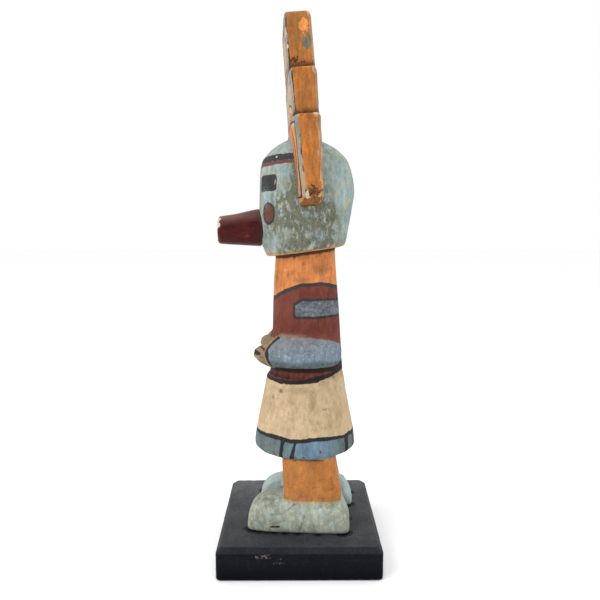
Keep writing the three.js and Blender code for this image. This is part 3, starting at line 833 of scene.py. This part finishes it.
def headboardMaterial():
    material, tree = startMaterial("ochreBoardPaint")
    ragged = raggedEdge(tree, 0.4)
    streak = grain(tree, 1.8, (1, 1, 10), 5, 0.6)
    paints = headboardLook["paints"]
    dull = toned(paints["orange"], (0.66, 0.70, 0.72))
    colour = mixColour(tree, ranged(tree, streak, 0.32, 0.66), dull, paints["orange"])
    mottle = grain(tree, 3.2, (1, 1, 1.6), 6, 0.74)
    colour = mixColour(tree, ranged(tree, mottle, 0.5, 0.68, 0.0, 0.75), colour, paints["mottle"])
    rust = ranged(tree, grain(tree, 5.5, (1, 1, 1.7), 5, 0.7), 0.44, 0.60, 0.0, 0.75)
    colour = mixColour(tree, rust, colour, paints["rust"])
    stain = ranged(tree, grain(tree, 5, (1, 1, 1.7), 6, 0.72), 0.36, 0.6)
    stain = times(tree, stored(tree, "stain"), stain)
    colour = mixColour(tree, stain, colour, paints["stain"])
    pits = ranged(tree, grain(tree, 0.8, (1, 1, 1.8), 4, 0.65), 0.56, 0.70, 0.0, 0.5)
    colour = mixColour(tree, pits, colour, paints["pit"])
    for paint in ("back", "grey", "cream", "ring", "arch", "tan", "line", "underShade", "rub", "bright",
                  "teal", "soot"):
        cover = painted(tree, paint + "Zone", ragged)
        if paint in ("bright", "teal", "soot"):
            stipple = ranged(tree, grain(tree, 0.9, (1, 1, 1), 4, 0.7), 0.36, 0.54, 0.45, 0.95)
            cover = times(tree, cover, stipple)
        colour = mixColour(tree, cover, colour, paints[paint])
    colour, streaks, speck = weathered(tree, colour, paints, 0.42, 1.35)
    colour = mixColour(tree, painted(tree, "chipZone", ragged), colour, paints["chip"])
    height = plus(tree, times(tree, streaks, 0.6), times(tree, speck, 0.5))
    finishMaterial(tree, colour, ranged(tree, mottle, 0.3, 0.7, 0.55, 0.8), height, 0.25, 1.0, 0.14)
    return material


# The round plug on the helmet's front
snoutLook = {
    "rootFlare": 0.85,            # how far the upper side swells where it meets the helmet
    "voxel": 0.42,
    "roundingPasses": 2,
    "handCarving": 0.14,
    "nickDepth": 0.55,
    "chipReach": 2.4,
    "axisHeight": 196.8,
    "mouthRadius": 5.4,
    "paints": {
        "dark": (0.034, 0.0032, 0.0032),
        "light": (0.072, 0.0062, 0.0056),
        "rubbed": (0.16, 0.045, 0.035),
        "sheen": (0.215, 0.11, 0.10),
        "mouth": (0.012, 0.009, 0.009),
        "chip": (0.56, 0.43, 0.31),
        "grimeAndShade": (0.015, 0.01, 0.008),
    },
}


def makeSnout():
    look = snoutLook
    piece, edges, points, normals = roundedBlank("snout", "snoutPlug", look)
    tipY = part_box("snout")[0].y / mm
    x, y, z = points.T
    sharp = clamp(-hollowness(points, normals, edges, 8) * 6) * easeStep(-(y - tipY), -6, -2)
    angle = np.arctan2(z - 197, x)
    push = 0.04 * np.sin(angle * 7 + 0.08 * y)
    push += look["handCarving"] * softNoise(points, (6, 12, 6), 41)
    push += look["rootFlare"] * easeStep(y, tipY + 8, -25) * easeStep(z, 198, 207)
    nicks = easeStep(softNoise(points, (2.4, 2.0, 2.4), 42), 0.05, 0.55)
    push -= look["nickDepth"] * nicks * sharp
    points = points + normals * push[:, None]
    points[:, 1] = np.maximum(points[:, 1], tipY)
    writePoints(piece, points)
    smoothShade(piece)
    normals = readNormals(piece)
    x, y, z = points.T
    ragged = 1.5 * softNoise(points, (2.6, 2.6, 2.6), 43) + 0.6 * softNoise(points, 1.2, 44)
    upper = easeStep(z, 195, 203)
    chip = look["chipReach"] * (0.2 + 0.6 * upper) - (y - tipY) + ragged * 1.1 - 0.8
    fromAxis = np.hypot(x, z - look["axisHeight"])
    chip = np.where(fromAxis < look["mouthRadius"] - 0.2, -3.0, chip)
    fleck = np.where(x > 0, 0.12 - np.hypot(y + 27, z - 197.8), -9)
    mouth = look["mouthRadius"] - fromAxis - 6 * easeStep(y - tipY, 0.4, 1.2)
    hollow = hollowness(points, normals, edges, 14)
    # A patchy painted highlight along the top of the snout
    sheenPatches = clamp(0.8 + 0.5 * softNoise(points, (5, 7, 5), 45))
    # Dirt-and-shade value: grime and painted shade in hollows and towards the root on the helmet
    storeValues(piece, {
        "chipZone": either(chip, fleck), "mouthZone": mouth, "wornEdge": clamp(-hollow * 3),
        "sheenOnTop": easeStep(normals[:, 2], 0.25, 0.95) * sheenPatches,
        "dirtAndShade": clamp(hollow * 2) + 0.8 * easeStep(y, -27, -23.5),
    })
    return piece


def snoutMaterial():
    paints = snoutLook["paints"]
    material, tree = startMaterial("maroonGlossWood")
    ragged = raggedEdge(tree, 0.5)
    streak = grain(tree, 2.4, (1, 3, 1), 5, 0.65)
    colour = mixColour(tree, ranged(tree, streak, 0.3, 0.7), paints["dark"], paints["light"])
    rubbed = grain(tree, 3.5, (1, 1.6, 1), 5, 0.7)
    worn = plus(tree, times(tree, stored(tree, "wornEdge"), 0.5), rubbed)
    colour = mixColour(tree, ranged(tree, worn, 0.60, 0.80, 0.0, 0.7), colour, paints["rubbed"])
    # Painted highlight along the top
    sheen = times(tree, stored(tree, "sheenOnTop"), 0.55)
    colour = mixColour(tree, sheen, colour, paints["sheen"])
    colour = mixColour(tree, painted(tree, "mouthZone", ragged), colour, paints["mouth"])
    colour = mixColour(tree, painted(tree, "chipZone", ragged, 0.12), colour, paints["chip"])
    # Grime and painted shade
    grimeAndShade = times(tree, stored(tree, "dirtAndShade"), 0.8)
    colour = mixColour(tree, maths(tree, "MULTIPLY", grimeAndShade, 0.7, True), colour, paints["grimeAndShade"])
    height = plus(tree, times(tree, streak, 0.5), times(tree, rubbed, 0.5))
    chipRough = painted(tree, "chipZone", ragged, 0.12)
    chipRough = times(tree, chipRough, 0.4)
    roughness = plus(tree, ranged(tree, rubbed, 0.3, 0.7, 0.28, 0.5), chipRough)
    finishMaterial(tree, colour, roughness, height, 0.16, 0.8, 0.12)
    return material


# The black board that the doll stands on
baseLook = {
    "chamfer": 3.0,
    "cornerRadius": 2.5,
    "lowerEase": 0.8,
    "edgeEase": 0.35,
    "nickDepth": 0.45,
    "dentDepth": 0.35,
    "paints": {
        "dark": (0.0035, 0.0045, 0.0075),
        "light": (0.009, 0.0105, 0.015),
        "band": (0.013, 0.014, 0.018),
        # dust and painted reflection on the top
        "dustAndHighlight": (0.150, 0.155, 0.158),
        "worn": (0.16, 0.14, 0.13),
        # painted shade low on the sides
        "low": (0.0012, 0.0016, 0.003),
        "contactShadow": (0.0012, 0.0012, 0.0015),
        "bruise": (0.27, 0.18, 0.17),
    },
}


# One level outline of the board, a rounded square walked counterclockwise
def boardRing(halfWidth, radius, height):
    cornerSteps = 6
    sideSteps = 22
    ring = []
    reach = halfWidth - radius
    for corner in range(4):
        start = corner * math.pi / 2
        signX = 1 if corner in (0, 3) else -1
        signY = 1 if corner < 2 else -1
        for step in range(cornerSteps + 1):
            angle = start + step / cornerSteps * math.pi / 2
            across = signX * reach + radius * math.cos(angle)
            ring.append((across, signY * reach + radius * math.sin(angle), height))
        endX, endY = ring[-1][0], ring[-1][1]
        wayX, wayY = round(-math.cos(start)), round(-math.sin(start))
        for step in range(1, sideSteps):
            run = 2 * reach * step / sideSteps
            ring.append((endX + wayX * run, endY + wayY * run, height))
    return ring


def makeBase():
    look = baseLook
    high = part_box("base")[1]
    half = high.x / mm
    top = high.z / mm
    radius, ease, chamfer = look["cornerRadius"], look["lowerEase"], look["chamfer"]
    soft = look["edgeEase"]
    levels = [(half - ease - soft, 0.0), (half - ease, soft * 0.5), (half - soft * 0.3, ease)]
    levels += [(half, ease + soft)]
    wall = top - chamfer - ease - 2 * soft
    levels += [(half, ease + soft + wall * step / 9) for step in range(1, 10)]
    levels += [(half - soft * 0.3, top - chamfer + soft * 0.3)]
    levels += [(half - chamfer * step / 4, top - chamfer + chamfer * step / 4) for step in range(1, 4)]
    levels += [(half - chamfer + soft * 0.3, top - soft * 0.3), (half - chamfer - soft, top)]
    steps = 26
    inner = half - chamfer - soft
    levels += [(inner * (1 - step / (steps + 1)), top) for step in range(1, steps + 1)]
    rings = []
    for halfWidth, height in levels:
        rings.append(boardRing(halfWidth, min(radius, halfWidth * 0.6), height))
    sides = len(rings[0])
    vertices = [point for ring in rings for point in ring]
    faces = []
    for row in range(len(rings) - 1):
        for step in range(sides):
            here = row * sides + step
            beside = row * sides + (step + 1) % sides
            faces.append((here, beside, beside + sides, here + sides))
    faces.append(tuple(reversed(range(sides))))
    faces.append(tuple((len(rings) - 1) * sides + step for step in range(sides)))
    mesh = bpy.data.meshes.new("standBoard")
    mesh.from_pydata([tuple(value * mm for value in point) for point in vertices], [], faces)
    mesh.update()
    piece = bpy.data.objects.new("standBoard", mesh)
    bpy.context.scene.collection.objects.link(piece)
    divide = piece.modifiers.new("finer", "SUBSURF")
    divide.subdivision_type = "SIMPLE"
    divide.levels = 1
    depsgraph = bpy.context.evaluated_depsgraph_get()
    finer = bpy.data.meshes.new_from_object(piece.evaluated_get(depsgraph))
    piece.modifiers.clear()
    piece.data = finer
    points = readPoints(piece)
    normals = readNormals(piece)
    edges = readEdges(piece)
    sharp = clamp(-hollowness(points, normals, edges, 4) * 9)
    nicks = easeStep(softNoise(points, (3.2, 3.2, 2.4), 51), 0.35, 0.8)
    push = -look["nickDepth"] * nicks * sharp - 0.05 * (1 + softNoise(points, (16, 6, 6), 52))
    x, y, z = points.T
    dent = np.where(x > half - 1.2, np.exp(-((y + 20) / 5) ** 2 - ((z - 14) / 2.6) ** 2), 0)
    push -= look["dentDepth"] * dent * (0.6 + 0.4 * softNoise(points, 1.6, 53))
    points = points + normals * (push * easeStep(z, 0.05, 0.9))[:, None]
    writePoints(piece, points)
    smoothShade(piece)
    x, y, z = points.T
    bruise = ellipseInside(y + 20, z - 14.3, 9.5, 2.0) + 1.6 * softNoise(points, (2, 3, 0.9), 54)
    bruise = np.where(x > half - 2.4, bruise, -9)
    lowBruise = ellipseInside(y + 12.5, z - 11, 4.5, 1.2) + 1.2 * softNoise(points, (2, 2.4, 0.8), 55)
    bruise = either(bruise, np.where(x > half - 2.4, lowBruise, -9))
    # Distance to the soles, for a painted contact shadow round the feet
    soles = readPoints(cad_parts["figure"])
    soles = soles[soles[:, 2] < top + 0.6][:, :2]
    nearest = np.full(len(points), 99.0)
    onTop = np.flatnonzero(z > top - 1)
    for begin in range(0, len(onTop), 2000):
        some = onTop[begin:begin + 2000]
        gaps = points[some, None, :2] - soles[None]
        nearest[some] = np.sqrt((gaps ** 2).sum(axis=2).min(axis=1))
    # Dust on the upward faces, which also stands for a painted reflection on the top: stronger towards the
    # back
    dustAndHighlight = clamp(normals[:, 2]) ** 3 * (0.72 - 0.28 * x / half) * (1 + 0.25 * easeStep(-x, 5, 40))
    storeValues(piece, {
        "contactShadow": 0.85 * easeStep(-nearest, -3.4, -1.2), "shadedLowPart": easeStep(-z, -13, -3),
        "bruiseZone": bruise, "wornEdge": sharp, "dustAndHighlight": dustAndHighlight,
    })
    return piece


def baseMaterial():
    paints = baseLook["paints"]
    material, tree = startMaterial("blackStainedBoard")
    fibres = grain(tree, 0.7, (26, 1, 1), 5, 0.62)
    bands = grain(tree, 3.0, (22, 1, 1), 3, 0.5)
    colour = mixColour(tree, ranged(tree, fibres, 0.35, 0.75), paints["dark"], paints["light"])
    colour = mixColour(tree, ranged(tree, bands, 0.5, 0.75, 0.0, 0.5), colour, paints["band"])
    # Dust and a painted reflection on the top
    dustAndHighlight = grain(tree, 14, (1, 1, 1), 5, 0.6)
    dustAndHighlightShare = times(tree, stored(tree, "dustAndHighlight"), ranged(tree, dustAndHighlight, 0.3, 0.7, 0.36, 0.6))
    fineDustAndHighlight = ranged(tree, grain(tree, 0.8, (1.6, 1, 1), 4, 0.7), 0.3, 0.7, 0.7, 1.3)
    dustAndHighlightShare = times(tree, dustAndHighlightShare, fineDustAndHighlight)
    colour = mixColour(tree, dustAndHighlightShare, colour, paints["dustAndHighlight"])
    ragged = raggedEdge(tree, 0.9)
    speck = grain(tree, 0.9, (1, 1, 1), 4, 0.7)
    worn = plus(tree, times(tree, stored(tree, "wornEdge"), 0.35), speck)
    colour = mixColour(tree, ranged(tree, worn, 0.84, 0.95, 0.0, 0.8), colour, paints["worn"])
    # Painted shade: darker towards the bottom of the sides
    shadedLowPart = times(tree, stored(tree, "shadedLowPart"), 0.75)
    colour = mixColour(tree, shadedLowPart, colour, paints["low"])
    # Painted contact shadow round the feet
    colour = mixColour(tree, stored(tree, "contactShadow"), colour, paints["contactShadow"])
    bruise = painted(tree, "bruiseZone", ragged, 0.5, -1.0)
    bruise = times(tree, bruise, ranged(tree, speck, 0.48, 0.62))
    colour = mixColour(tree, bruise, colour, paints["bruise"])
    height = plus(tree, times(tree, fibres, 0.8), times(tree, bands, 0.3))
    roughness = ranged(tree, fibres, 0.3, 0.7, 0.36, 0.55)
    finishMaterial(tree, colour, roughness, height, 0.12, 0.8, 0.05)
    return material


def dress(piece, material, node):
    piece.data.materials.clear()
    piece.data.materials.append(material)
    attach(piece, "root")
    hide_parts(node)
    print(f"{piece.name}: {len(piece.data.polygons)} faces")


def makeStage():
    mesh = bpy.data.meshes.new("floor")
    size = 6.0
    corners = [(-size, -size, 0), (size, -size, 0), (size, size, 0), (-size, size, 0)]
    mesh.from_pydata(corners, [], [(0, 1, 2, 3)])
    floor = bpy.data.objects.new("floor", mesh)
    bpy.context.scene.collection.objects.link(floor)
    material, tree = startMaterial("paleFloor")
    inputs = {"Base Color": (0.985, 0.985, 0.985, 1), "Roughness": 0.95, "Specular IOR Level": 0.0}
    shader = put(tree, "ShaderNodeBsdfPrincipled", inputs)
    output = put(tree, "ShaderNodeOutputMaterial")
    tree.links.new(shader.outputs["BSDF"], output.inputs["Surface"])
    mesh.materials.append(material)


def makeLight(name, place, aim, size, watts):
    light = bpy.data.lights.new(name, "AREA")
    light.shape = "DISK"
    light.size = size
    light.energy = watts
    lamp = bpy.data.objects.new(name, light)
    bpy.context.scene.collection.objects.link(lamp)
    lamp.location = place
    direction = Vector(np.subtract(aim, place))
    lamp.rotation_euler = direction.to_track_quat("-Z", "Y").to_euler()


def makeLights():
    makeLight("keyLight", (0.55, -0.85, 1.0), (0, 0, 0.16), 0.9, 6.5)
    makeLight("topLight", (-0.05, 0.15, 1.3), (0, 0, 0.1), 1.0, 3.5)
    world = bpy.data.worlds.new("studio")
    bpy.context.scene.world = world
    world.use_nodes = True
    world.node_tree.nodes["Background"].inputs["Color"].default_value = (1, 1, 1, 1)
    world.node_tree.nodes["Background"].inputs["Strength"].default_value = 1.0


cameraLook = {
    "place": (0.354695, -0.001570, 0.196100),
    "turn": 0.34,
    "dip": 6.74,
    "lens": 34.906,
    "sensor": 36.0,
}


def makeCamera():
    look = cameraLook
    data = bpy.data.cameras.new("photoCamera")
    data.lens = look["lens"]
    data.sensor_width = look["sensor"]
    data.clip_start = 0.01
    camera = bpy.data.objects.new("photoCamera", data)
    bpy.context.scene.collection.objects.link(camera)
    turn, dip = math.radians(look["turn"]), math.radians(look["dip"])
    forward = np.array([-math.cos(dip) * math.cos(turn), math.cos(dip) * math.sin(turn), -math.sin(dip)])
    right = np.cross(forward, (0, 0, 1))
    right /= np.linalg.norm(right)
    up = np.cross(right, forward)
    rows = np.eye(4)
    rows[:3, 0], rows[:3, 1], rows[:3, 2], rows[:3, 3] = right, up, -forward, look["place"]
    camera.matrix_world = Matrix(rows.tolist())
    bpy.context.scene.camera = camera


makeCamera()
makeLights()
makeStage()
print("stage, lights and camera set")

dress(makeBase(), baseMaterial(), "base")
dress(makeFigure(), figureMaterial(), "figure")
dress(makeHeadboard(), headboardMaterial(), "headboard")
dress(makeSnout(), snoutMaterial(), "snout")

bpy.context.scene.view_settings.view_transform = "Standard"
